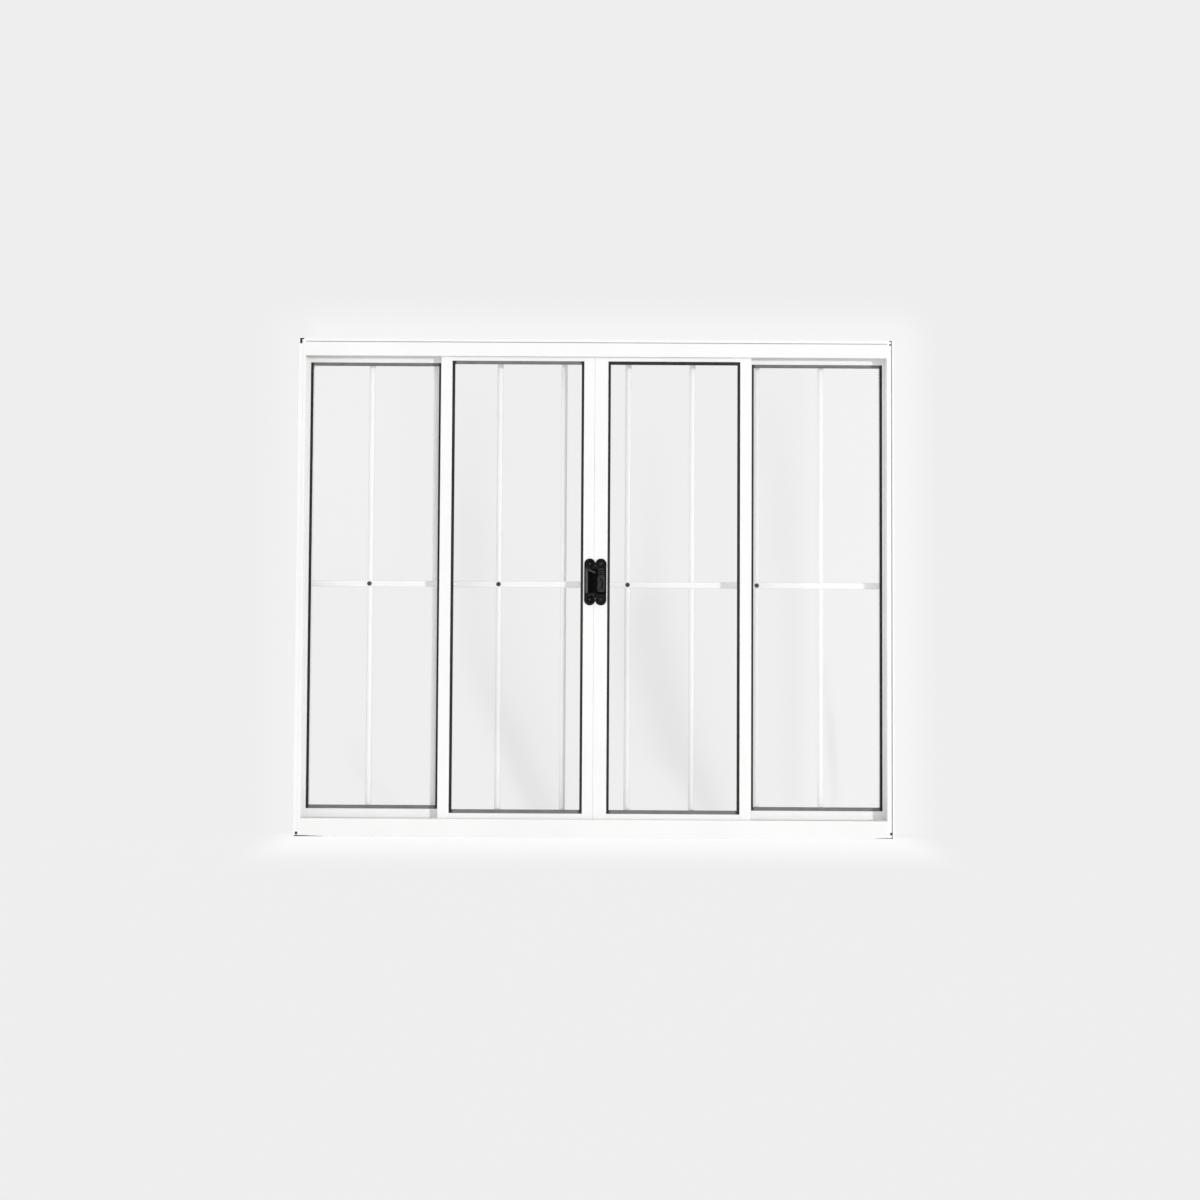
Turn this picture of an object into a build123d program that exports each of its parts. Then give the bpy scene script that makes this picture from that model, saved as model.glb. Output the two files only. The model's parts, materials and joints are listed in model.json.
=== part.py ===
from build123d import *
import os

os.makedirs("parts", exist_ok=True)

# ---------------------------------------------------------------------------
# Four-leaf sliding window with a bar grille. Millimetres.
# +X to the right seen from the room, +Y from the room to the outdoors, +Z up.
# Origin: centre of the underside of the sill.
# ---------------------------------------------------------------------------

# outer frame
W = 1200.0            # overall width
H = 1000.0            # overall height
D = 80.0              # frame depth
T = 2.0               # frame wall
Y0 = -D / 2           # room-side plane
Y1 = D / 2            # outdoor plane
HEAD_LEG = 35.0       # room-side face height of the head
SILL_LEG = 36.0       # room-side face height of the sill
JAMB_LEG = 14.5       # face width of a jamb, both sides
BACK_LEG = 22.0       # outdoor face height of head and sill
FIN = 1.6             # thickness of the dividing fins
FIN_A = -8.5          # fin between the two tracks
FIN_B = 15.3          # fin between the far track and the grille
FIN_H = 22.0          # height of the fins in head and sill
FIN_J = 9.0           # height of the fins in the jambs
RAIL_T = 1.6          # thickness of a roller rail
RAIL_TOP = 12.0       # top of the roller rails
LIP = 4.0             # turned lip on the free edge of the room-side face

# trim-clip groove in the room-side face
GROOVE_W = 1.8
GROOVE_D = 3.8
GROOVE_HEAD = 6.8     # from the top of the head
# jamb grooves, left and right: distance from the outer face, width, depth
GROOVE_JAMBS = {-1: (8.2, 1.2, 1.2), 1: (5.1, 2.0, 3.8)}
PAD = 5.4             # depth of the thicker strip that carries the groove

# corner notches at the ends of the jamb grooves, filled by seals
# (x low, x high, z low, z high)
NOTCHES = [(-598.0, -593.2, 989.0, H), (-593.2, -589.5, 997.6, H),
           (-596.2, -591.6, 3.6, 9.0),
           (590.4, 593.7, 990.4, 993.6), (590.0, 594.4, 997.8, H),
           (590.4, 595.0, 8.2, 13.2)]
SEAL_BACK = 0.5       # seal sits this far behind the face

# sealing strips that show along the lower edge at both ends of the sill
STRIPS = [[(-598.0, 0.0), (-598.0, 2.2), (-582.0, 2.0), (-540.0, 0.5), (-540.0, 0.0)],
          [(595.8, 1.5), (595.8, 2.9), (580.0, 2.7), (562.0, 2.1), (562.0, 1.7), (580.0, 1.5)]]
STRIP_D = 1.3         # depth of the strips
STRIP_BACK = 0.3

# wall-fixing holes in the jamb webs
FIX_R = 3.5
FIX_Y = -24.0
FIX_Z = (250.0, 750.0)

# drain slots in the outdoor face of the sill
DRAIN_X = (-420.0, 0.0, 420.0)
DRAIN_W = 26.0
DRAIN_H = 4.5
DRAIN_Z = 6.0

# leaves
LEAF_T = 17.0         # leaf thickness
LEAF_Z0 = RAIL_TOP
LEAF_Z1 = 980.0
NEAR_Y = -30.0        # room-side face of the sliding leaves
FAR_Y = -4.0          # room-side face of the fixed leaves
GLASS_T = 3.0
GASKET_T = 2.0        # gasket lip each side of the glass
GASKET_TOP = 5.5      # width of gasket that shows above the pane
GROOVE_LEAF = 7.0     # glazing groove depth
GLASS_IN = 5.5        # glass edge inside the groove
PANE_Y = 5.5          # middle of the glass behind the leaf's face

# leaves: x inner, x outer, sight edges x inner, x outer, z bottom, z top,
# widths of gasket that show beside and below the pane
SLIDE = dict(x0=0.4, x1=313.7, ox0=24.4, ox1=291.3, oz0=46.1, oz1=957.9, y=NEAR_Y, gs=5.1, gb=6.8)
FIXED = dict(x0=296.5, x1=597.5, ox0=317.6, ox1=584.0, oz0=50.6, oz1=958.6, y=FAR_Y, gs=4.2, gb=6.6)

# meeting stiles: the right one laps over the left one
LAP_X = -2.6
LAP_T = 3.0
LAP_GAP = 0.25

# grille
BAR_R = 6.35
BAR_WALL = 1.2
BAR_Y = 30.4
BAR_PITCH = 132.4
BAR_XS = [(i - 3.5) * BAR_PITCH for i in range(8)]
CROSS_Z = 507.3
CROSS_H = 13.0
CROSS_Y0 = 18.0
CROSS_Y1 = BAR_Y - BAR_R
RIVET_R = 4.5
RIVET_H = 2.0

# latch
LATCH_MEET = 0.3      # where the two halves meet
LATCH_Z = 510.8
LATCH_H = 94.3
LATCH_W = 22.3        # width of one half
LATCH_PROUD = 3.0
LATCH_Y = NEAR_Y - LATCH_PROUD
CUP_X0 = 4.5          # cup let into the left stile, from the meeting line
CUP_X1 = 16.0
CUP_Z0 = 487.6
CUP_Z1 = 538.5
CUP_D = 9.0
CUP_WALL = 1.1
STEP_Y = NEAR_Y - 1.2 # thin part of the flanges beside the meeting line
RIM_X = 19.6          # outer edge of the sloping rim of the cup
RIM_D = 1.7
TRAY = (3.4, 20.0, 485.2, 539.4)   # shallow tray of the right half
TRAY_FLOOR = NEAR_Y - 0.8
SCREW_Z = (475.4, 547.2)
SCREW_R = 3.4
SCREW_X = 11.5
SINK_R = 5.7          # countersinks of the left half
SINK_D = 2.2
RELIEF_R = (6.4, 8.8) # crescent beside the screws of the left half
RELIEF_D = 2.3
RING_R = (6.0, 7.3)   # ring round the screws of the right half
RING_D = 1.4
GAP_HOLES = ((0.9, 543.6, 1.05), (0.6, 477.0, 1.25))   # x, z, radius, on the meeting line
PLATE_X = 11.75       # plate of the thumb slider
PLATE_Z = 506.0
PLATE_W = 15.4
PLATE_H = 30.6
RIB_X = 12.5          # its ribs
RIB_W = 13.8
RIB_Z = (525.6, 529.6, 533.7)   # grooves between the ribs


def export(piece, label):
    piece.part.label = label
    export_step(piece.part, "parts/" + label + ".step")


# ---------------------------------------------------------------------------
# frame: head and sill
# ---------------------------------------------------------------------------

WEB_X = W / 2 - T            # inner faces of the jamb webs
FACE_X = W / 2 - JAMB_LEG    # inner edges of the jamb faces
FIN_X = W / 2 - T - FIN_J    # inner edges of the jamb fins
RAIL_YS = (NEAR_Y + LEAF_T / 2, FAR_Y + LEAF_T / 2)

with BuildPart() as sill:
    # web, let in between the jambs, and the two roller rails
    with BuildSketch(Plane.YZ.offset(-WEB_X)):
        with Locations(((PAD - T) / 2, T / 2)):
            Rectangle(D - PAD - T, T)
        with Locations(*[(y, RAIL_TOP / 2) for y in RAIL_YS]):
            Rectangle(RAIL_T, RAIL_TOP)
    extrude(amount=2 * WEB_X)
    # dividing fins
    with BuildSketch(Plane.YZ.offset(-FIN_X)):
        with Locations((FIN_A, (T + FIN_H) / 2), (FIN_B, (T + FIN_H) / 2)):
            Rectangle(FIN, T + FIN_H)
    extrude(amount=2 * FIN_X)
    # room-side face with its turned lip, outdoor face
    with BuildSketch(Plane.YZ.offset(-FACE_X)):
        with Locations((Y0 + T / 2, SILL_LEG / 2)):
            Rectangle(T, SILL_LEG)
        with Locations((Y0 + LIP / 2, SILL_LEG - T / 2)):
            Rectangle(LIP, T)
        with Locations((Y0 + (PAD + T) / 2, T / 2)):
            Rectangle(PAD + T, T)
        with Locations((Y1 - T / 2, BACK_LEG / 2)):
            Rectangle(T, BACK_LEG)
    extrude(amount=2 * FACE_X)
    room_edges = sill.edges().filter_by(Axis.X).filter_by_position(Axis.Y, Y0 - 0.01, Y0 + 0.01)
    fillet(room_edges.sort_by(Axis.Z)[-1], 0.8)
    # drain slots
    with BuildSketch(Plane.XZ.offset(-Y1)):
        with Locations(*[(x, DRAIN_Z + DRAIN_H / 2) for x in DRAIN_X]):
            SlotOverall(DRAIN_W, DRAIN_H)
    extrude(amount=T + 0.5, mode=Mode.SUBTRACT)
    # rebates for the sealing strips
    with BuildSketch(Plane.XZ.offset(-Y0)):
        for pts in STRIPS:
            with BuildLine():
                Polyline(*pts, close=True)
            make_face()
    extrude(amount=-STRIP_D, mode=Mode.SUBTRACT)

with BuildPart() as head:
    with BuildSketch(Plane.YZ.offset(-WEB_X)):
        with Locations(((PAD - T) / 2, H - T / 2)):
            Rectangle(D - PAD - T, T)
    extrude(amount=2 * WEB_X)
    with BuildSketch(Plane.YZ.offset(-FIN_X)):
        with Locations((FIN_A, H - (T + FIN_H) / 2), (FIN_B, H - (T + FIN_H) / 2)):
            Rectangle(FIN, T + FIN_H)
    extrude(amount=2 * FIN_X)
    with BuildSketch(Plane.YZ.offset(-FACE_X)):
        with Locations((Y0 + T / 2, H - HEAD_LEG / 2)):
            Rectangle(T, HEAD_LEG)
        with Locations((Y0 + LIP / 2, H - HEAD_LEG + T / 2)):
            Rectangle(LIP, T)
        with Locations((Y0 + PAD / 2, H - (GROOVE_HEAD + 3.0) / 2)):
            Rectangle(PAD, GROOVE_HEAD + 3.0)
        with Locations((Y1 - T / 2, H - BACK_LEG / 2)):
            Rectangle(T, BACK_LEG)
        with Locations((Y0, H - GROOVE_HEAD)):
            Rectangle(2 * GROOVE_D, GROOVE_W, mode=Mode.SUBTRACT)
    extrude(amount=2 * FACE_X)
    room_edges = head.edges().filter_by(Axis.X).filter_by_position(Axis.Y, Y0 - 0.01, Y0 + 0.01)
    fillet(room_edges.sort_by(Axis.Z)[0], 0.8)

export(sill, "frame_sill")
export(head, "frame_head")

# ---------------------------------------------------------------------------
# frame: jambs, full height
# ---------------------------------------------------------------------------

for side, label in ((-1, "frame_jamb_left"), (1, "frame_jamb_right")):
    xo = side * W / 2
    with BuildPart() as jamb:
        # web, room-side face and outdoor face
        with BuildSketch(Plane.XY):
            with Locations((xo - side * T / 2, 0)):
                Rectangle(T, D)
            with Locations((xo - side * JAMB_LEG / 2, Y0 + T / 2), (xo - side * JAMB_LEG / 2, Y1 - T / 2)):
                Rectangle(JAMB_LEG, T)
        extrude(amount=H)
        # strip behind the trim groove
        with BuildSketch(Plane.XY):
            with Locations((xo - side * (GROOVE_JAMBS[-1][0] + 3.0) / 2, Y0 + PAD / 2)):
                Rectangle(GROOVE_JAMBS[-1][0] + 3.0, PAD)
        extrude(amount=H)
        # dividing fins
        with BuildSketch(Plane.XY.offset(T)):
            with Locations((xo - side * (T + FIN_J) / 2, FIN_A), (xo - side * (T + FIN_J) / 2, FIN_B)):
                Rectangle(T + FIN_J, FIN)
        extrude(amount=H - 2 * T)
        # trim groove
        with BuildSketch(Plane.XY):
            with Locations((xo - side * GROOVE_JAMBS[side][0], Y0)):
                Rectangle(GROOVE_JAMBS[side][1], 2 * GROOVE_JAMBS[side][2])
        extrude(amount=H, mode=Mode.SUBTRACT)
        # corner notches
        with BuildSketch(Plane.XZ.offset(-Y0)):
            for (xa, xb, za, zb) in NOTCHES:
                if xa * side > 0:
                    with Locations(((xa + xb) / 2, (za + zb) / 2)):
                        Rectangle(xb - xa, zb - za)
        extrude(amount=-PAD, mode=Mode.SUBTRACT)
        with BuildSketch(Plane.XZ.offset(-Y0)):
            with BuildLine():
                Polyline(*STRIPS[0 if side < 0 else 1], close=True)
            make_face()
        extrude(amount=-STRIP_D, mode=Mode.SUBTRACT)
        # wall-fixing holes
        with BuildSketch(Plane.YZ.offset(xo - side * 2 * T)):
            with Locations(*[(FIX_Y, z) for z in FIX_Z]):
                Circle(FIX_R)
        extrude(amount=side * 3 * T, mode=Mode.SUBTRACT)
        long_edges = jamb.edges().filter_by(Axis.Z).filter_by_position(Axis.Y, Y0 - 0.01, Y0 + 0.01)
        fillet(long_edges.sort_by(Axis.X)[0 if side > 0 else -1], 0.6)
    export(jamb, label)

# black seals that close the corner notches, and the strips below
with BuildPart() as seals:
    with BuildSketch(Plane.XZ.offset(-(Y0 + STRIP_BACK))):
        for pts in STRIPS:
            with BuildLine():
                Polyline(*pts, close=True)
            make_face()
    extrude(amount=-(STRIP_D - STRIP_BACK))
    with BuildSketch(Plane.XZ.offset(-(Y0 + SEAL_BACK))):
        for (xa, xb, za, zb) in NOTCHES:
            with Locations(((xa + xb) / 2, (za + zb) / 2)):
                Rectangle(xb - xa, zb - za)
    extrude(amount=-(PAD - SEAL_BACK))
export(seals, "corner_seals")

# ---------------------------------------------------------------------------
# leaves
# ---------------------------------------------------------------------------

LEAVES = [("fixed_left", -1, FIXED, ("outer", "inner")),
          ("sliding_left", -1, SLIDE, ("outer", "meeting")),
          ("sliding_right", 1, SLIDE, ("outer", "meeting")),
          ("fixed_right", 1, FIXED, ("outer", "inner"))]

for leaf, side, g, names in LEAVES:
    ya = g["y"]
    yc = ya + LEAF_T / 2
    yp = ya + PANE_Y
    gw = GLASS_T + 2 * GASKET_T        # groove width
    gx0, gx1 = g["ox0"] - GROOVE_LEAF, g["ox1"] + GROOVE_LEAF
    gz0, gz1 = g["oz0"] - GROOVE_LEAF, g["oz1"] + GROOVE_LEAF

    # glazing groove shared by the four members
    with BuildPart() as groove:
        with BuildSketch(Plane.XY.offset(gz0)):
            with Locations((side * (gx0 + gx1) / 2, yp)):
                Rectangle(gx1 - gx0, gw)
        extrude(amount=gz1 - gz0)

    # stiles, full height
    for nm, a, b in ((names[0], g["ox1"], g["x1"]), (names[1], g["x0"], g["ox0"])):
        with BuildPart() as stile:
            with BuildSketch(Plane.XY.offset(LEAF_Z0)):
                with Locations((side * (a + b) / 2, yc)):
                    Rectangle(b - a, LEAF_T)
                if nm == "meeting" and side > 0:
                    with Locations(((LAP_X + a) / 2, ya + LAP_T / 2)):
                        Rectangle(a - LAP_X, LAP_T)
                if nm == "meeting" and side < 0:
                    with Locations(((LAP_X - LAP_GAP) / 2, ya + (LAP_T + 0.4) / 2)):
                        Rectangle(LAP_GAP - LAP_X, LAP_T + 0.4, mode=Mode.SUBTRACT)
            extrude(amount=LEAF_Z1 - LEAF_Z0)
            fillet(stile.edges().filter_by(Axis.Z).filter_by_position(Axis.Y, ya - 0.01, ya + 0.01), 0.7)
            add(groove.part, mode=Mode.SUBTRACT)
            if nm == "meeting" and side < 0:
                # pocket for the latch cup
                with BuildSketch(Plane.XZ.offset(-ya)):
                    with Locations((-(CUP_X0 + CUP_X1) / 2, (CUP_Z0 + CUP_Z1) / 2)):
                        RectangleRounded(CUP_X1 - CUP_X0, CUP_Z1 - CUP_Z0, 3.0)
                extrude(amount=-CUP_D, mode=Mode.SUBTRACT)
        export(stile, leaf + "_" + nm + "_stile")

    # rails between the stiles
    for nm, za, zb in (("bottom", LEAF_Z0, g["oz0"]), ("top", g["oz1"], LEAF_Z1)):
        with BuildPart() as rail:
            with BuildSketch(Plane.YZ.offset(min(side * g["ox0"], side * g["ox1"]))):
                with Locations((yc, (za + zb) / 2)):
                    Rectangle(LEAF_T, zb - za)
            extrude(amount=g["ox1"] - g["ox0"])
            fillet(rail.edges().filter_by(Axis.X).filter_by_position(Axis.Y, ya - 0.01, ya + 0.01), 0.7)
            add(groove.part, mode=Mode.SUBTRACT)
        export(rail, leaf + "_" + nm + "_rail")

    # glass
    with BuildPart() as glass:
        with BuildSketch(Plane.XY.offset(g["oz0"] - GLASS_IN)):
            with Locations((side * (g["ox0"] + g["ox1"]) / 2, yp)):
                Rectangle(g["ox1"] - g["ox0"] + 2 * GLASS_IN, GLASS_T)
        extrude(amount=g["oz1"] - g["oz0"] + 2 * GLASS_IN)
    export(glass, leaf + "_glass")

    # gasket ring, U section round the edge of the glass
    with BuildPart() as gasket:
        with BuildSketch(Plane.XZ.offset(-(yp - gw / 2))):
            with Locations((side * (gx0 + gx1) / 2, (gz0 + gz1) / 2)):
                Rectangle(gx1 - gx0, gz1 - gz0)
            with Locations((side * (g["ox0"] + g["ox1"]) / 2,
                            (g["oz0"] + g["gb"] + g["oz1"] - GASKET_TOP) / 2)):
                Rectangle(g["ox1"] - g["ox0"] - 2 * g["gs"],
                          g["oz1"] - g["oz0"] - g["gb"] - GASKET_TOP, mode=Mode.SUBTRACT)
        extrude(amount=-gw)
        add(glass.part, mode=Mode.SUBTRACT)
    export(gasket, leaf + "_gasket")

# ---------------------------------------------------------------------------
# grille
# ---------------------------------------------------------------------------

for i, x in enumerate(BAR_XS):
    with BuildPart() as bar:
        with BuildSketch(Plane.XY.offset(T)):
            with Locations((x, BAR_Y)):
                Circle(BAR_R)
                Circle(BAR_R - BAR_WALL, mode=Mode.SUBTRACT)
        extrude(amount=H - 2 * T)
    export(bar, "grille_bar_%d" % (i + 1))

with BuildPart() as crossbar:
    with BuildSketch(Plane.YZ.offset(-WEB_X)):
        with Locations(((CROSS_Y0 + CROSS_Y1) / 2, CROSS_Z)):
            Rectangle(CROSS_Y1 - CROSS_Y0, CROSS_H)
    extrude(amount=2 * WEB_X)
    fillet(crossbar.edges().filter_by(Axis.X).filter_by_position(Axis.Y, CROSS_Y0 - 0.01, CROSS_Y0 + 0.01), 2.2)
export(crossbar, "grille_crossbar")

with BuildPart() as rivets:
    with BuildSketch(Plane.XZ.offset(-CROSS_Y0)):
        with Locations(*[(BAR_XS[i], CROSS_Z) for i in (0, 2, 4, 6)]):
            Circle(RIVET_R)
    extrude(amount=RIVET_H)
    fillet(rivets.edges().filter_by_position(Axis.Y, CROSS_Y0 - RIVET_H - 0.01, CROSS_Y0 - RIVET_H + 0.01), 1.4)
export(rivets, "grille_rivets")

# ---------------------------------------------------------------------------
# latch: one half on each meeting stile
# ---------------------------------------------------------------------------

LEFT_X = LATCH_MEET - LATCH_W / 2
RIGHT_X = LATCH_MEET + LATCH_W / 2
CUP_MID = ((CUP_Z0 + CUP_Z1) / 2)

# left half, with a finger cup let into the stile
with BuildPart() as shell_left:
    with BuildSketch(Plane.XZ.offset(-NEAR_Y)):
        with Locations((LEFT_X, LATCH_Z)):
            SlotOverall(LATCH_H, LATCH_W, rotation=90)
    extrude(amount=LATCH_PROUD)
    fillet(shell_left.edges().filter_by_position(Axis.Y, LATCH_Y - 0.01, LATCH_Y + 0.01), 1.9)
    # cup
    with BuildSketch(Plane.XZ.offset(-NEAR_Y)):
        with Locations((-(CUP_X0 + CUP_X1) / 2, CUP_MID)):
            RectangleRounded(CUP_X1 - CUP_X0, CUP_Z1 - CUP_Z0, 3.0)
    extrude(amount=-CUP_D)
    with BuildSketch(Plane.XZ.offset(-LATCH_Y)):
        with Locations((-(CUP_X0 + CUP_X1) / 2, CUP_MID)):
            RectangleRounded(CUP_X1 - CUP_X0 - 2 * CUP_WALL, CUP_Z1 - CUP_Z0 - 2 * CUP_WALL, 1.9)
    extrude(amount=-(CUP_D + LATCH_PROUD - CUP_WALL), mode=Mode.SUBTRACT)
    # sloping rim on the outer side of the cup, thin flange on the inner side
    with BuildSketch(Plane.XY.offset(CUP_Z0 + CUP_WALL)):
        with BuildLine():
            Polyline((-RIM_X, LATCH_Y - 0.01), (-CUP_X1 + CUP_WALL, LATCH_Y - 0.01),
                     (-CUP_X1 + CUP_WALL, LATCH_Y + RIM_D), close=True)
        make_face()
        with Locations(((LATCH_MEET - CUP_X0 - CUP_WALL) / 2, (LATCH_Y + STEP_Y) / 2 - 1.0)):
            Rectangle(LATCH_MEET + CUP_X0 + CUP_WALL + 0.02, STEP_Y - LATCH_Y + 2.0)
    extrude(amount=CUP_Z1 - CUP_Z0 - 2 * CUP_WALL, mode=Mode.SUBTRACT)
    # countersinks
    for z in SCREW_Z:
        with BuildSketch(Plane.XZ.offset(-LATCH_Y)):
            with Locations((-SCREW_X, z)):
                Circle(SINK_R)
        extrude(amount=-SINK_D, taper=45, mode=Mode.SUBTRACT)
        with BuildSketch(Plane.XZ.offset(-LATCH_Y)):
            with Locations((-SCREW_X, z)):
                Circle(RELIEF_R[1])
                Circle(RELIEF_R[0], mode=Mode.SUBTRACT)
            with Locations((-SCREW_X - 9.0, z)):
                Rectangle(20.0, 20.0, mode=Mode.SUBTRACT)
        extrude(amount=-RELIEF_D, mode=Mode.SUBTRACT)
    with BuildSketch(Plane.XZ.offset(-LATCH_Y)):
        for (hx, hz, hr) in GAP_HOLES:
            with Locations((hx, hz)):
                Circle(hr)
    extrude(amount=-LATCH_PROUD, mode=Mode.SUBTRACT)
export(shell_left, "latch_shell_left")

# right half, with a shallow tray for the slider
with BuildPart() as shell_right:
    with BuildSketch(Plane.XZ.offset(-NEAR_Y)):
        with Locations((RIGHT_X, LATCH_Z)):
            SlotOverall(LATCH_H, LATCH_W, rotation=90)
    extrude(amount=LATCH_PROUD)
    fillet(shell_right.edges().filter_by_position(Axis.Y, LATCH_Y - 0.01, LATCH_Y + 0.01), 1.9)
    with BuildSketch(Plane.XZ.offset(-LATCH_Y)):
        with Locations(((TRAY[0] + TRAY[1]) / 2, (TRAY[2] + TRAY[3]) / 2)):
            RectangleRounded(TRAY[1] - TRAY[0], TRAY[3] - TRAY[2], 1.5)
    extrude(amount=-(TRAY_FLOOR - LATCH_Y), mode=Mode.SUBTRACT)
    with BuildSketch(Plane.XY.offset(CUP_Z0 + CUP_WALL)):
        with Locations(((LATCH_MEET + TRAY[0]) / 2, (LATCH_Y + STEP_Y) / 2 - 1.0)):
            Rectangle(TRAY[0] - LATCH_MEET + 0.02, STEP_Y - LATCH_Y + 2.0)
    extrude(amount=CUP_Z1 - CUP_Z0 - 2 * CUP_WALL, mode=Mode.SUBTRACT)
    with BuildSketch(Plane.XZ.offset(-LATCH_Y)):
        with Locations(*[(SCREW_X, z) for z in SCREW_Z]):
            Circle(SCREW_R + 1.0)
    extrude(amount=-1.0, mode=Mode.SUBTRACT)
    with BuildSketch(Plane.XZ.offset(-LATCH_Y)):
        with Locations(*[(SCREW_X, z) for z in SCREW_Z]):
            Circle(RING_R[1])
            Circle(RING_R[0], mode=Mode.SUBTRACT)
    extrude(amount=-RING_D, mode=Mode.SUBTRACT)
    with BuildSketch(Plane.XZ.offset(-LATCH_Y)):
        for (hx, hz, hr) in GAP_HOLES:
            with Locations((hx, hz)):
                Circle(hr)
    extrude(amount=-LATCH_PROUD, mode=Mode.SUBTRACT)
export(shell_right, "latch_shell_right")

# screws, one near each end of each half
with BuildPart() as screws:
    for sx, top in ((-SCREW_X, LATCH_Y + SINK_D - 1.3), (SCREW_X, LATCH_Y - 0.3)):
        base = LATCH_Y + (SINK_D if sx < 0 else 1.0)
        with BuildSketch(Plane.XZ.offset(-base)):
            with Locations(*[(sx, z) for z in SCREW_Z]):
                Circle(SCREW_R)
        extrude(amount=base - top)
        fillet(screws.edges().filter_by_position(Axis.Y, top - 0.01, top + 0.01), 0.9)
        with BuildSketch(Plane.XZ.offset(-top)):
            with Locations(*[(sx, z) for z in SCREW_Z]):
                Rectangle(4.6, 1.0)
                Rectangle(1.0, 4.6)
        extrude(amount=-0.8, mode=Mode.SUBTRACT)
export(screws, "latch_screws")

# hook lever on the left half, aslant over the top of its cup
with BuildPart() as lever:
    with BuildSketch(Plane.XZ.offset(-(LATCH_Y + RIM_D))):
        with BuildLine():
            Polyline((-14.85, 533.9), (-14.85, 535.5), (-13.4, 536.8), (0.2, 531.5), (0.2, 527.3), close=True)
        make_face()
    extrude(amount=RIM_D + 2.0)
    # top face slopes down towards the hook end
    with BuildSketch(Plane.XY.offset(520.0)):
        with BuildLine():
            Polyline((-15.0, LATCH_Y - 1.4), (0.3, LATCH_Y + 0.5), (0.3, LATCH_Y - 3.0), (-15.0, LATCH_Y - 3.0), close=True)
        make_face()
    extrude(amount=25.0, mode=Mode.SUBTRACT)
    # stem down into the cup
    with BuildSketch(Plane.XZ.offset(-(NEAR_Y + CUP_D - CUP_WALL))):
        with Locations((-10.25, 533.8)):
            Rectangle(5.0, 2.6)
    extrude(amount=CUP_D - CUP_WALL + LATCH_PROUD - RIM_D)
export(lever, "latch_hook_lever")

# thumb slider in the tray of the right half, ribbed at the top
with BuildPart() as slider:
    with BuildSketch(Plane.XZ.offset(-TRAY_FLOOR)):
        with Locations((PLATE_X, PLATE_Z)):
            RectangleRounded(PLATE_W, PLATE_H, 3.0)
    extrude(amount=TRAY_FLOOR - LATCH_Y + 0.5)
    fillet(slider.edges().filter_by_position(Axis.Y, LATCH_Y - 0.51, LATCH_Y - 0.49), 0.7)
    with BuildSketch(Plane.XZ.offset(-TRAY_FLOOR)):
        with Locations((RIB_X, (RIB_Z[0] + RIB_Z[-1]) / 2)):
            RectangleRounded(RIB_W, 17.0, 1.2)
    extrude(amount=TRAY_FLOOR - LATCH_Y + 0.9)
    # grooves between the ribs
    with BuildSketch(Plane.XZ.offset(-(LATCH_Y - 0.9))):
        with Locations(*[(RIB_X, z) for z in RIB_Z]):
            Rectangle(RIB_W, 2.0)
    extrude(amount=-2.0, mode=Mode.SUBTRACT)
    # curved grip recess in the middle of the plate
    with BuildSketch(Plane.XZ.offset(-(LATCH_Y - 0.5))):
        with BuildLine():
            ThreePointArc((9.2, 517.4), (14.5, 508.2), (10.8, 498.8))
        trace(line_width=2.8)
    extrude(amount=-1.9, mode=Mode.SUBTRACT)
export(slider, "latch_slider")
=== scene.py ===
import bpy, bmesh, json, math
from mathutils import Vector, Matrix

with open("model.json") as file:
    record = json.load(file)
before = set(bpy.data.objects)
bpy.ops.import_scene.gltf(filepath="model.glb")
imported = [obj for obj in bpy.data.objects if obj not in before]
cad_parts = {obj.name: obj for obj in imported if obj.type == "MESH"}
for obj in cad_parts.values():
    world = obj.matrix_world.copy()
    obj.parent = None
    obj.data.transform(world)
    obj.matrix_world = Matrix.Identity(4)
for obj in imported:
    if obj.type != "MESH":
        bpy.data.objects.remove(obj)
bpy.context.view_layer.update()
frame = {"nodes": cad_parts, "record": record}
nodes = frame["nodes"]
scene = bpy.context.scene

# ---------------------------------------------------------------------------
# node helpers
# ---------------------------------------------------------------------------

def new_material(name):
    m = bpy.data.materials.new(name)
    m.use_nodes = True
    nt = m.node_tree
    nt.nodes.clear()
    out = nt.nodes.new("ShaderNodeOutputMaterial")
    p = nt.nodes.new("ShaderNodeBsdfPrincipled")
    nt.links.new(p.outputs["BSDF"], out.inputs["Surface"])
    return m, nt, p, out


def noise(nt, scale, detail=4.0, rough=0.5, vector=None):
    n = nt.nodes.new("ShaderNodeTexNoise")
    n.inputs["Scale"].default_value = scale
    n.inputs["Detail"].default_value = detail
    n.inputs["Roughness"].default_value = rough
    if vector is not None:
        nt.links.new(vector, n.inputs["Vector"])
    return n.outputs["Fac"]


def coords(nt, stretch=(1, 1, 1)):
    t = nt.nodes.new("ShaderNodeTexCoord")
    if stretch == (1, 1, 1):
        return t.outputs["Object"]
    mp = nt.nodes.new("ShaderNodeMapping")
    mp.inputs["Scale"].default_value = stretch
    nt.links.new(t.outputs["Object"], mp.inputs["Vector"])
    return mp.outputs["Vector"]


def ramp(nt, fac, lo, hi, a, b):
    r = nt.nodes.new("ShaderNodeMapRange")
    r.inputs["From Min"].default_value = lo
    r.inputs["From Max"].default_value = hi
    r.inputs["To Min"].default_value = a
    r.inputs["To Max"].default_value = b
    nt.links.new(fac, r.inputs["Value"])
    return r.outputs["Result"]


def mix_color(nt, fac, a, b):
    m = nt.nodes.new("ShaderNodeMix")
    m.data_type = "RGBA"
    nt.links.new(fac, m.inputs["Factor"])
    m.inputs["A"].default_value = (*a, 1)
    m.inputs["B"].default_value = (*b, 1)
    return m.outputs["Result"]


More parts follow.
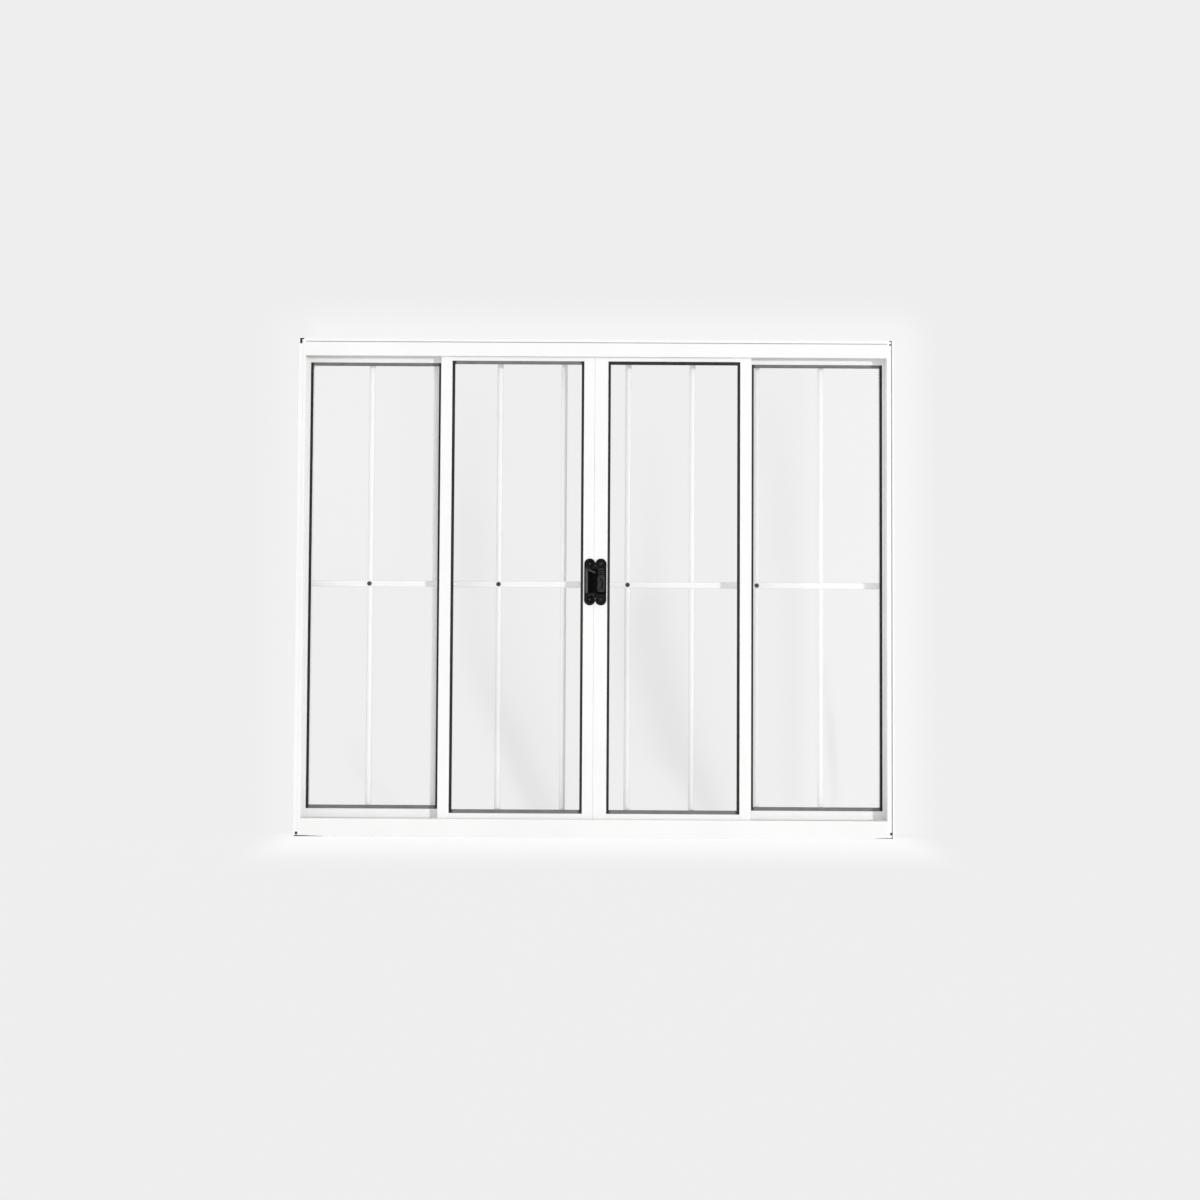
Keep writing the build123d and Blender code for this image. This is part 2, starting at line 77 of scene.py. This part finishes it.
def bump(nt, height, strength, distance, normal=None):
    b = nt.nodes.new("ShaderNodeBump")
    b.inputs["Strength"].default_value = strength
    b.inputs["Distance"].default_value = distance
    nt.links.new(height, b.inputs["Height"])
    if normal is not None:
        nt.links.new(normal, b.inputs["Normal"])
    return b.outputs["Normal"]


def along(nt, axis, lo, hi, soft, fold=False):
    """1 between lo and hi along one axis of the part, fading over soft; fold mirrors it about 0."""
    sx = nt.nodes.new("ShaderNodeSeparateXYZ")
    nt.links.new(coords(nt), sx.inputs[0])
    x = sx.outputs[axis]
    if fold:
        ab = nt.nodes.new("ShaderNodeMath")
        ab.operation = "ABSOLUTE"
        nt.links.new(x, ab.inputs[0])
        x = ab.outputs[0]
    ends = []
    for a, b in ((lo - soft, lo), (hi + soft, hi)):
        r = nt.nodes.new("ShaderNodeMapRange")
        r.interpolation_type = "SMOOTHSTEP"
        r.inputs["From Min"].default_value = a
        r.inputs["From Max"].default_value = b
        nt.links.new(x, r.inputs["Value"])
        ends.append(r.outputs["Result"])
    return mask_math(nt, "MULTIPLY", *ends)


def mask_math(nt, op, a, b):
    n = nt.nodes.new("ShaderNodeMath")
    n.operation = op
    for i, x in enumerate((a, b)):
        if isinstance(x, (int, float)):
            n.inputs[i].default_value = x
        else:
            nt.links.new(x, n.inputs[i])
    return n.outputs[0]


def powder_coat(name, tone, rough, grooves=False):
    m, nt, p, out = new_material(name)
    v = coords(nt)
    cloud = noise(nt, 9.0, 3.0, 0.5, v)
    speck = noise(nt, 900.0, 2.0, 0.5, v)
    hi = tuple(min(1.0, t * 1.012) for t in tone)
    lo = tuple(t * 0.985 for t in tone)
    colour = mix_color(nt, ramp(nt, cloud, 0.35, 0.65, 0, 1), lo, hi)
    if grooves:
        # painted shade in the trim grooves: the paint is darker where the grooves lie in shade, broken up by noise
        jamb = mask_math(nt, "MULTIPLY", along(nt, "X", 0.5936, 0.5962, 0.0001), along(nt, "Y", -0.0392, -0.0360, 0.0003))
        head = mask_math(nt, "MULTIPLY", along(nt, "Z", 0.99225, 0.99415, 0.0001), along(nt, "Y", -0.0392, -0.0360, 0.0003))
        groove_shade = mask_math(nt, "MAXIMUM", jamb, head)
        spots = ramp(nt, noise(nt, 120.0, 3.0, 0.6, v), 0.3, 0.7, 0.7, 1.0)
        n = nt.nodes.new("ShaderNodeMix")
        n.data_type = "RGBA"
        nt.links.new(mask_math(nt, "MULTIPLY", groove_shade, spots), n.inputs["Factor"])
        nt.links.new(colour, n.inputs["A"])
        n.inputs["B"].default_value = (0.62, 0.62, 0.615, 1)
        colour = n.outputs["Result"]
    nt.links.new(colour, p.inputs["Base Color"])
    nt.links.new(ramp(nt, speck, 0.3, 0.7, rough - 0.05, rough + 0.06), p.inputs["Roughness"])
    peel = noise(nt, 1400.0, 3.0, 0.55, v)
    wave = noise(nt, 260.0, 2.0, 0.5, v)
    n1 = bump(nt, wave, 0.04, 0.0004)
    n2 = bump(nt, peel, 0.16, 0.00012, n1)
    nt.links.new(n2, p.inputs["Normal"])
    p.inputs["Specular IOR Level"].default_value = 0.35
    return m


def rubber(name, tone, rough, run_sheen=None):
    m, nt, p, out = new_material(name)
    v = coords(nt)
    grain = noise(nt, 2200.0, 3.0, 0.6, v)
    cloud = noise(nt, 60.0, 3.0, 0.5, v)
    colour = mix_color(nt, ramp(nt, cloud, 0.35, 0.65, 0, 1), tuple(t * 0.8 for t in tone), tuple(t * 1.3 for t in tone))
    if run_sheen:
        # painted sheen on the horizontal runs, paler where light catches them, clear of the corners and of one run left
        # dark
        runs = mask_math(nt, "MAXIMUM", along(nt, "X", 0.034, 0.281, 0.006, fold=True), along(nt, "X", 0.326, 0.575, 0.006, fold=True))
        level = mask_math(nt, "MAXIMUM", along(nt, "Z", 0.952, 0.962, 0.0002), along(nt, "Z", 0.040, 0.0575, 0.0002))
        dark_run = mask_math(nt, "MULTIPLY", along(nt, "X", 0.02, 0.30, 0.004), along(nt, "Z", 0.952, 0.962, 0.0002))
        tint_and_sheen_mask = mask_math(nt, "MULTIPLY", mask_math(nt, "MULTIPLY", runs, level), mask_math(nt, "SUBTRACT", 1.0, dark_run))
        spots = ramp(nt, noise(nt, 45.0, 4.0, 0.6, v), 0.3, 0.7, 0.75, 1.0)
        n = nt.nodes.new("ShaderNodeMix")
        n.data_type = "RGBA"
        nt.links.new(mask_math(nt, "MULTIPLY", tint_and_sheen_mask, spots), n.inputs["Factor"])
        nt.links.new(colour, n.inputs["A"])
        n.inputs["B"].default_value = (*run_sheen, 1)
        colour = n.outputs["Result"]
    nt.links.new(colour, p.inputs["Base Color"])
    nt.links.new(ramp(nt, grain, 0.3, 0.7, rough - 0.08, rough + 0.08), p.inputs["Roughness"])
    nt.links.new(bump(nt, grain, 0.25, 0.0001), p.inputs["Normal"])
    p.inputs["Specular IOR Level"].default_value = 0.35
    return m


def moulded(name, tone, rough, shine=0.3, lit_face_tone=None, front=None, keep=None, rim_highlight=None):
    """Moulded plastic; lit_face_tone is the paler tone, a painted highlight, of the grained faces that lie in front of
    front[0] (fully) and fade out by front[1], also everywhere on keep's side of X; the faces further back keep the dark
    tone as painted shade.
    rim_highlight is the tone of a painted highlight on the slope beside the finger cup."""
    m, nt, p, out = new_material(name)
    v = coords(nt)
    grain = noise(nt, 1600.0, 4.0, 0.6, v)
    cloud = noise(nt, 40.0, 3.0, 0.5, v)
    colour = mix_color(nt, ramp(nt, cloud, 0.3, 0.7, 0, 1), tuple(t * 0.85 for t in tone), tuple(t * 1.2 for t in tone))
    if lit_face_tone:
        # painted highlight on the raised faces, mottled by noise; the faces further back keep the dark tone as painted
        # shade
        face = along(nt, "Y", -0.050, front[0], front[1] - front[0])
        if keep is not None:
            face = mask_math(nt, "MAXIMUM", face, along(nt, "X", -0.1, keep, 0.0001))
        else:
            face = mask_math(nt, "MULTIPLY", face, along(nt, "X", 0.0, 0.0180, 0.0030, fold=True))
        highlight_mottle = ramp(nt, noise(nt, 260.0, 3.0, 0.6, v), 0.34, 0.66, 0.25, 1.0)
        n = nt.nodes.new("ShaderNodeMix")
        n.data_type = "RGBA"
        nt.links.new(mask_math(nt, "MULTIPLY", face, highlight_mottle), n.inputs["Factor"])
        nt.links.new(colour, n.inputs["A"])
        n.inputs["B"].default_value = (*lit_face_tone, 1)
        colour = n.outputs["Result"]
    if rim_highlight:
        # painted highlight on the slope beside the finger cup
        slope = mask_math(nt, "MULTIPLY", along(nt, "X", -0.0196, -0.0150, 0.0002), along(nt, "Z", 0.4890, 0.5372, 0.0004))
        slope = mask_math(nt, "MULTIPLY", slope, along(nt, "Y", -0.0340, -0.0313, 0.0001))
        n = nt.nodes.new("ShaderNodeMix")
        n.data_type = "RGBA"
        nt.links.new(mask_math(nt, "MULTIPLY", slope, ramp(nt, noise(nt, 300.0, 2.0, 0.5, v), 0.3, 0.7, 0.7, 1.0)), n.inputs["Factor"])
        nt.links.new(colour, n.inputs["A"])
        n.inputs["B"].default_value = (*rim_highlight, 1)
        colour = n.outputs["Result"]
    nt.links.new(colour, p.inputs["Base Color"])
    nt.links.new(ramp(nt, grain, 0.3, 0.7, rough - 0.07, rough + 0.09), p.inputs["Roughness"])
    nt.links.new(bump(nt, grain, 0.3, 0.00012), p.inputs["Normal"])
    p.inputs["Specular IOR Level"].default_value = shine
    return m


def clear_glass(name):
    m, nt, p, out = new_material(name)
    v = coords(nt)
    tint_and_sheen_mask = noise(nt, 5.0, 4.0, 0.6, v)
    nt.links.new(mix_color(nt, ramp(nt, tint_and_sheen_mask, 0.3, 0.7, 0, 1), (0.986, 0.989, 0.988), (0.993, 0.995, 0.994)), p.inputs["Base Color"])
    p.inputs["Transmission Weight"].default_value = 1.0
    p.inputs["Roughness"].default_value = 0.0
    p.inputs["IOR"].default_value = 1.5
    # lamps reach what is behind the pane
    lp = nt.nodes.new("ShaderNodeLightPath")
    tr = nt.nodes.new("ShaderNodeBsdfTransparent")
    tr.inputs["Color"].default_value = (0.95, 0.955, 0.953, 1)
    mx = nt.nodes.new("ShaderNodeMixShader")
    nt.links.new(lp.outputs["Is Shadow Ray"], mx.inputs["Fac"])
    nt.links.new(p.outputs["BSDF"], mx.inputs[1])
    nt.links.new(tr.outputs["BSDF"], mx.inputs[2])
    nt.links.new(mx.outputs["Shader"], out.inputs["Surface"])
    return m


MATS = {
    "frame_paint": powder_coat("frame_paint_look", (0.93, 0.93, 0.926), 0.46, grooves=True),
    # the sill's paint is a little darker: painted shade for the lower light on the sill
    "sill_shaded_paint": powder_coat("sill_shaded_paint_look", (0.90, 0.90, 0.895), 0.48),
    "leaf_paint": powder_coat("leaf_paint_look", (0.93, 0.93, 0.926), 0.44),
    "grille_paint": powder_coat("grille_paint_look", (0.935, 0.935, 0.931), 0.46),
    "clear_glass": clear_glass("clear_glass_look"),
    # the gasket's horizontal runs carry a painted sheen
    "black_gasket": rubber("black_gasket_look", (0.012, 0.012, 0.012), 0.55, run_sheen=(0.20, 0.20, 0.198)),
    "black_rubber": rubber("black_rubber_look", (0.016, 0.016, 0.016), 0.7),
    "rivet_black": moulded("rivet_black_look", (0.0012, 0.0012, 0.0012), 0.38, 0.05),
    # the latch shells carry a painted highlight on their raised faces and on the cup's slope
    "latch_black": moulded("latch_black_look", (0.0012, 0.0012, 0.0013), 0.30, 0.045, lit_face_tone=(0.023, 0.023, 0.0235), front=(-0.03294, -0.0324), rim_highlight=(0.062, 0.062, 0.063)),
    # the lever's paler face tone is a painted highlight
    "latch_lever": moulded("latch_lever_look", (0.003, 0.003, 0.0031), 0.36, 0.08, lit_face_tone=(0.046, 0.046, 0.0465), front=(-0.0334, -0.0329)),
    # the hook lever's paler face tone is a painted highlight on its lit top
    "hook_lever": moulded("hook_lever_look", (0.003, 0.003, 0.0031), 0.36, 0.08, lit_face_tone=(0.088, 0.088, 0.089), front=(-0.0334, -0.0329), keep=0.0003),
    "screw_black": moulded("screw_black_look", (0.014, 0.014, 0.014), 0.28, 0.3),
}

slot_of = {s["node"]: s["material_slot"] for s in frame["record"]["subparts"]}
for name, ob in nodes.items():
    mat = MATS[{"frame_sill": "sill_shaded_paint", "latch_hook_lever": "hook_lever"}.get(name, slot_of[name])]
    if not ob.material_slots:
        ob.data.materials.append(mat)
    for s in ob.material_slots:
        s.material = mat

# ---------------------------------------------------------------------------
# stage: pale floor, soft light, camera
# ---------------------------------------------------------------------------

BACK = 0.855
KEY = 4.15
ENV_LOW, ENV_HIGH, ENV_LEFT = 0.55, 0.47, 0.515

floor_mesh = bpy.data.meshes.new("floor")
bm = bmesh.new()
bmesh.ops.create_grid(bm, x_segments=1, y_segments=1, size=60.0)
bm.to_mesh(floor_mesh)
bm.free()
floor = bpy.data.objects.new("floor", floor_mesh)
scene.collection.objects.link(floor)
floor.location = (0, 0, -0.0006)
m, nt, p, out = new_material("floor_look")
nt.nodes.remove(p)
# mostly self-lit, with a soft pool of light along the foot of the window
geo = nt.nodes.new("ShaderNodeNewGeometry")
pos = nt.nodes.new("ShaderNodeSeparateXYZ")
nt.links.new(geo.outputs["Position"], pos.inputs[0])


def floor_math(op, a, b):
    n = nt.nodes.new("ShaderNodeMath")
    n.operation = op
    for i, x in enumerate((a, b)):
        if isinstance(x, (int, float)):
            n.inputs[i].default_value = x
        else:
            nt.links.new(x, n.inputs[i])
    return n.outputs[0]


FLOOR_SELF = 0.792
side = floor_math("MAXIMUM", floor_math("SUBTRACT", floor_math("ABSOLUTE", pos.outputs["X"], 0.0), 0.59), 0.0)
ahead = floor_math("MAXIMUM", floor_math("SUBTRACT", -0.045, pos.outputs["Y"]), 0.0)
away = floor_math("SQRT", floor_math("ADD", floor_math("MULTIPLY", floor_math("MULTIPLY", side, 3.2), floor_math("MULTIPLY", side, 3.2)), floor_math("MULTIPLY", ahead, ahead)), 0.0)
pool = nt.nodes.new("ShaderNodeMapRange")
pool.interpolation_type = "SMOOTHSTEP"
pool.inputs["From Min"].default_value = 0.0
pool.inputs["From Max"].default_value = 0.36
pool.inputs["To Min"].default_value = 0.115
pool.inputs["To Max"].default_value = 0.0
nt.links.new(away, pool.inputs["Value"])
# weaker past the window's left end
leftward = nt.nodes.new("ShaderNodeMapRange")
leftward.interpolation_type = "SMOOTHSTEP"
leftward.inputs["From Min"].default_value = -0.67
leftward.inputs["From Max"].default_value = -0.57
leftward.inputs["To Min"].default_value = 0.35
leftward.inputs["To Max"].default_value = 1.0
nt.links.new(pos.outputs["X"], leftward.inputs["Value"])
gleam = floor_math("MULTIPLY", pool.outputs["Result"], leftward.outputs["Result"])
level = floor_math("ADD", floor_math("MULTIPLY", gleam, floor_math("LESS_THAN", pos.outputs["Y"], 0.0)), FLOOR_SELF)
em = nt.nodes.new("ShaderNodeEmission")
em.inputs["Color"].default_value = (1, 1, 1, 1)
nt.links.new(level, em.inputs["Strength"])
df = nt.nodes.new("ShaderNodeBsdfDiffuse")
df.inputs["Color"].default_value = (0.10, 0.10, 0.10, 1)
ad = nt.nodes.new("ShaderNodeAddShader")
nt.links.new(em.outputs[0], ad.inputs[0])
nt.links.new(df.outputs[0], ad.inputs[1])
# only what is seen directly meets the floor; scattered light meets the studio round it
floor_path = nt.nodes.new("ShaderNodeLightPath")
clear = nt.nodes.new("ShaderNodeBsdfTransparent")
choose = nt.nodes.new("ShaderNodeMixShader")
# behind the window's face the floor runs out into the studio's own tone
fade = nt.nodes.new("ShaderNodeMapRange")
fade.interpolation_type = "SMOOTHSTEP"
fade.inputs["From Min"].default_value = -0.05
fade.inputs["From Max"].default_value = 0.06
fade.inputs["To Min"].default_value = 0.0
fade.inputs["To Max"].default_value = 1.0
nt.links.new(pos.outputs["Y"], fade.inputs["Value"])
scattered = floor_math("MINIMUM", floor_math("ADD", floor_path.outputs["Diffuse Depth"], floor_path.outputs["Glossy Depth"]), 1.0)
nt.links.new(floor_math("MAXIMUM", scattered, fade.outputs["Result"]), choose.inputs["Fac"])
nt.links.new(ad.outputs[0], choose.inputs[1])
nt.links.new(clear.outputs[0], choose.inputs[2])
nt.links.new(choose.outputs[0], out.inputs["Surface"])
floor.data.materials.append(m)
# the floor is seen, but neither lights the window nor shows in the panes' gloss
floor.visible_glossy = False
floor.visible_diffuse = False
floor.visible_shadow = False

# The studio round the window. What is seen directly, or through the panes, is one
# plain tone with a soft glow round the window's outline. What lights the window and
# is mirrored in the glass is a pale studio with a few soft folds of cloth hanging
# behind the photographer.
world = bpy.data.worlds.new("studio")
scene.world = world
world.use_nodes = True
wn = world.node_tree
wn.nodes.clear()


def math_node(op, a, b=None, c=None, clamp=False):
    n = wn.nodes.new("ShaderNodeMath")
    n.operation = op
    n.use_clamp = clamp
    for i, x in enumerate((a, b, c)):
        if x is None:
            continue
        if isinstance(x, (int, float)):
            n.inputs[i].default_value = x
        else:
            wn.links.new(x, n.inputs[i])
    return n.outputs[0]


def map_range(x, a, b, c, d, kind="LINEAR"):
    n = wn.nodes.new("ShaderNodeMapRange")
    n.interpolation_type = kind
    n.inputs["From Min"].default_value = a
    n.inputs["From Max"].default_value = b
    n.inputs["To Min"].default_value = c
    n.inputs["To Max"].default_value = d
    wn.links.new(x, n.inputs["Value"])
    return n.outputs["Result"]


def curve(x, points):
    """Smooth curve through the given points (x, y), all within 0..1."""
    n = wn.nodes.new("ShaderNodeFloatCurve")
    c = n.mapping.curves[0]
    c.points[0].location = points[0]
    c.points[1].location = points[-1]
    for q in points[1:-1]:
        c.points.new(*q)
    for q in c.points:
        q.handle_type = "AUTO_CLAMPED"
    n.mapping.update()
    wn.links.new(x, n.inputs["Value"])
    return n.outputs["Value"]


tc = wn.nodes.new("ShaderNodeTexCoord")
sep = wn.nodes.new("ShaderNodeSeparateXYZ")
wn.links.new(tc.outputs["Generated"], sep.inputs[0])
dx, dy, dz = sep.outputs
ay = math_node("MAXIMUM", math_node("ABSOLUTE", dy), 0.02)
# where the direction meets the mirrored plane of the panes, in millimetres
pu = math_node("MULTIPLY_ADD", math_node("DIVIDE", dx, ay), 2512.0, 12.8)
pw = math_node("MULTIPLY_ADD", math_node("DIVIDE", dz, ay), 2512.0, 399.2)
behind = map_range(dy, -0.3, -0.2, 1.0, 0.0)

Z_SPAN = (0.0, 1000.0)
wn_z = map_range(pw, Z_SPAN[0], Z_SPAN[1], 0.0, 1.0)


def fold(path, depth, width):
    """A soft darker fold: path gives (z, x) in millimetres, depth and width give
    (z, value), and the fold fades out sideways over its width."""
    span = [q[1] for q in path]
    x0, x1 = min(span) - 10.0, max(span) + 10.0
    cx = curve(wn_z, [((z - Z_SPAN[0]) / (Z_SPAN[1] - Z_SPAN[0]), (x - x0) / (x1 - x0)) for z, x in path])
    cx = math_node("MULTIPLY_ADD", cx, x1 - x0, x0)
    dep = curve(wn_z, [((z - Z_SPAN[0]) / (Z_SPAN[1] - Z_SPAN[0]), d) for z, d in depth])
    wid = curve(wn_z, [((z - Z_SPAN[0]) / (Z_SPAN[1] - Z_SPAN[0]), d / 100.0) for z, d in width])
    d = math_node("DIVIDE", math_node("SUBTRACT", pu, cx), math_node("MULTIPLY", wid, 100.0))
    g = math_node("EXPONENT", math_node("MULTIPLY", math_node("MULTIPLY", d, d), -1.0))
    return math_node("MULTIPLY", g, dep)


FOLDS = [
    # second pane, leaning to the right below
    ([(0, -85), (60, -112), (150, -152), (230, -182), (330, -220), (450, -245), (600, -252), (860, -255), (1000, -255)],
     [(0, 0.90), (60, 0.95), (150, 0.98), (240, 0.85), (330, 0.55), (450, 0.42), (580, 0.50), (720, 0.32), (860, 0.14), (960, 0.0), (1000, 0.0)],
     [(0, 34), (100, 32), (200, 36), (300, 42), (450, 48), (700, 44), (1000, 40)]),
    # soft tail to the right of it
    ([(0, -75), (200, -110), (400, -165), (1000, -180)],
     [(0, 0.30), (150, 0.30), (300, 0.26), (480, 0.14), (620, 0.0), (1000, 0.0)],
     [(0, 46), (1000, 60)]),
    # third pane
    ([(0, 245), (60, 228), (120, 200), (170, 168), (260, 142), (340, 122), (450, 108), (600, 112), (1000, 112)],
     [(0, 0.55), (50, 0.85), (120, 1.0), (240, 1.0), (330, 0.95), (440, 0.92), (520, 0.50), (620, 0.27), (760, 0.14), (860, 0.0), (1000, 0.0)],
     [(0, 26), (100, 42), (200, 56), (330, 56), (450, 48), (600, 28), (1000, 26)]),
    # third pane, beside the meeting stiles
    ([(0, 50), (1000, 48)],
     [(0, 0.0), (160, 0.05), (300, 0.32), (480, 0.42), (560, 0.12), (640, 0.0), (1000, 0.0)],
     [(0, 16), (1000, 16)]),
    # fourth pane, above
    ([(0, 400), (480, 396), (560, 380), (680, 374), (780, 362), (880, 350), (1000, 345)],
     [(0, 0.0), (480, 0.14), (540, 0.42), (680, 0.52), (780, 0.42), (860, 0.22), (930, 0.0), (1000, 0.0)],
     [(0, 26), (600, 30), (760, 30), (1000, 26)]),
    # fourth pane, below, two narrow folds
    ([(0, 404), (100, 396), (300, 396), (1000, 396)],
     [(0, 0.30), (90, 0.36), (300, 0.36), (460, 0.32), (530, 0.0), (1000, 0.0)],
     [(0, 20), (1000, 20)]),
    ([(0, 486), (120, 481), (220, 474), (320, 466), (1000, 460)],
     [(0, 0.15), (60, 0.30), (130, 0.66), (190, 0.86), (260, 0.50), (340, 0.26), (420, 0.0), (1000, 0.0)],
     [(0, 11), (1000, 11)]),
    # first pane, low
    ([(0, -395), (60, -410), (100, -440), (150, -474), (220, -480), (1000, -480)],
     [(0, 0.20), (60, 0.36), (120, 0.50), (170, 0.36), (230, 0.0), (1000, 0.0)],
     [(0, 20), (1000, 20)]),
]

shade = None
for i, f in enumerate(FOLDS):
    g = fold(*f)
    shade = g if shade is None else math_node("ADD", shade, g)
    if i == 2:
        # the three heavy folds also show in the reflection from the pane's far face
        heavy = math_node("MULTIPLY", math_node("MINIMUM", shade, 1.0), behind)
shade = math_node("MULTIPLY", math_node("MINIMUM", shade, 1.15), behind)

# what the panes mirror: a little brighter towards both ends and the top
mirror = math_node("ADD", 1.19, map_range(pu, 400.0, 450.0, 0.0, 0.72, "SMOOTHSTEP"))
left_up = math_node("MULTIPLY", map_range(pu, -440.0, -360.0, 1.0, 0.0, "SMOOTHSTEP"), map_range(pw, 480.0, 620.0, 0.0, 0.36, "SMOOTHSTEP"))
mirror = math_node("ADD", mirror, left_up)
mirror = math_node("MAXIMUM", math_node("MULTIPLY", mirror, math_node("SUBTRACT", 1.0, shade)), 0.0)

# light from below (the pale floor sweep), from above and from the left
from_low = math_node("MULTIPLY", map_range(dz, -0.35, 0.35, 1.0, 0.0, "SMOOTHSTEP"), ENV_LOW)
from_high = math_node("MULTIPLY", map_range(dz, -0.35, 0.35, 0.0, 1.0, "SMOOTHSTEP"), ENV_HIGH)
from_left = math_node("MULTIPLY", map_range(dx, -0.9, 0.1, 1.0, 0.0, "SMOOTHSTEP"), ENV_LEFT)
soft = math_node("ADD", math_node("ADD", from_low, from_high), from_left)
near_u = map_range(math_node("ABSOLUTE", pu), 620.0, 900.0, 1.0, 0.0, "SMOOTHSTEP")
near_w = map_range(math_node("ABSOLUTE", math_node("SUBTRACT", pw, 500.0)), 540.0, 800.0, 1.0, 0.0, "SMOOTHSTEP")
near = math_node("MULTIPLY", math_node("MULTIPLY", near_u, near_w), behind)
env = math_node("ADD", math_node("MULTIPLY", soft, math_node("SUBTRACT", 1.0, near)), math_node("MULTIPLY", mirror, near))

# glow round the outline of the window, seen directly
front = map_range(dy, 0.2, 0.3, 0.0, 1.0)
au = math_node("ABSOLUTE", pu)
gu = math_node("MAXIMUM", math_node("SUBTRACT", au, 596.0), 0.0)
gw = math_node("MAXIMUM", math_node("SUBTRACT", pw, 992.0), 0.0)
gd = math_node("SQRT", math_node("ADD", math_node("MULTIPLY", gu, gu), math_node("MULTIPLY", gw, gw)))
outside = math_node("MAXIMUM", map_range(au, 586.0, 594.0, 0.0, 1.0), map_range(pw, 966.0, 982.0, 0.0, 1.0))
glow = math_node("MULTIPLY", math_node("MULTIPLY", map_range(gd, 10.0, 110.0, 0.066, 0.0, "SMOOTHSTEP"), front), outside)
glow = math_node("MULTIPLY", glow, map_range(pu, -600.0, -560.0, 0.45, 1.0, "SMOOTHSTEP"))
# and only above the floor
glow = math_node("MULTIPLY", glow, map_range(pw, -60.0, -10.0, 0.0, 1.0, "SMOOTHSTEP"))
seen = math_node("ADD", BACK, glow)

lp = wn.nodes.new("ShaderNodeLightPath")
inner = math_node("MULTIPLY", math_node("MINIMUM", lp.outputs["Glossy Depth"], 1.0), heavy)
seen = math_node("MULTIPLY", seen, math_node("SUBTRACT", 1.0, inner))
direct = math_node("MAXIMUM", lp.outputs["Is Camera Ray"], lp.outputs["Is Transmission Ray"])
direct = math_node("MULTIPLY", direct, math_node("SUBTRACT", 1.0, math_node("MINIMUM", lp.outputs["Diffuse Depth"], 1.0)))
both = wn.nodes.new("ShaderNodeMix")
both.data_type = "FLOAT"
wn.links.new(direct, both.inputs["Factor"])
wn.links.new(env, both.inputs["A"])
wn.links.new(seen, both.inputs["B"])
bg = wn.nodes.new("ShaderNodeBackground")
bg.inputs["Color"].default_value = (1, 1, 1, 1)
wn.links.new(both.outputs["Result"], bg.inputs["Strength"])
wo = wn.nodes.new("ShaderNodeOutputWorld")
wn.links.new(bg.outputs[0], wo.inputs["Surface"])


def even_lamp(name, size, strength, at, aim):
    """Round lamp whose light does not weaken with distance."""
    d = bpy.data.lights.new(name, "AREA")
    d.shape = "DISK"
    d.size = size
    d.energy = 1.0
    d.use_nodes = True
    n = d.node_tree
    n.nodes.clear()
    fall = n.nodes.new("ShaderNodeLightFalloff")
    fall.inputs["Strength"].default_value = strength
    e = n.nodes.new("ShaderNodeEmission")
    n.links.new(fall.outputs["Constant"], e.inputs["Strength"])
    o = n.nodes.new("ShaderNodeOutputLight")
    n.links.new(e.outputs[0], o.inputs["Surface"])
    ob = bpy.data.objects.new(name, d)
    ob.location = at
    ob.rotation_mode = "QUATERNION"
    ob.rotation_quaternion = (Vector(aim) - ob.location).to_track_quat("-Z", "Y")
    # light through the panes is already counted by their clear shadows
    ob.visible_transmission = False
    scene.collection.objects.link(ob)
    return ob


# key light from the right
key = even_lamp("key", 0.57, KEY, (4.29, -6.21, 0.62), (0, 0, 0.5))

# camera
cam_data = bpy.data.cameras.new("camera")
cam_data.sensor_width = 36.0
cam_data.lens = 37.434
cam_data.clip_start = 0.01
cam_data.clip_end = 200.0
cam = bpy.data.objects.new("camera", cam_data)
scene.collection.objects.link(cam)
PITCH, YAW, ROLL = math.radians(1.719), math.radians(-0.067), math.radians(0.317)
fwd = Vector((math.sin(YAW) * math.cos(PITCH), math.cos(YAW) * math.cos(PITCH), math.sin(PITCH)))
right = Vector((math.cos(YAW), -math.sin(YAW), 0))
up = right.cross(fwd)
r2 = right * math.cos(ROLL) + up * math.sin(ROLL)
u2 = up * math.cos(ROLL) - right * math.sin(ROLL)
cam.matrix_world = Matrix(((r2.x, u2.x, -fwd.x, 0.0128), (r2.y, u2.y, -fwd.y, -2.540), (r2.z, u2.z, -fwd.z, 0.3992), (0, 0, 0, 1)))
scene.camera = cam

# white surfaces in the recesses light each other
scene.cycles.max_bounces = 24
scene.cycles.diffuse_bounces = 12
scene.cycles.glossy_bounces = 6
scene.cycles.transmission_bounces = 16
scene.cycles.transparent_max_bounces = 16
scene.cycles.blur_glossy = 0.0

scene.view_settings.view_transform = "Standard"
scene.view_settings.look = "None"
scene.view_settings.exposure = 0.0
scene.view_settings.gamma = 1.0
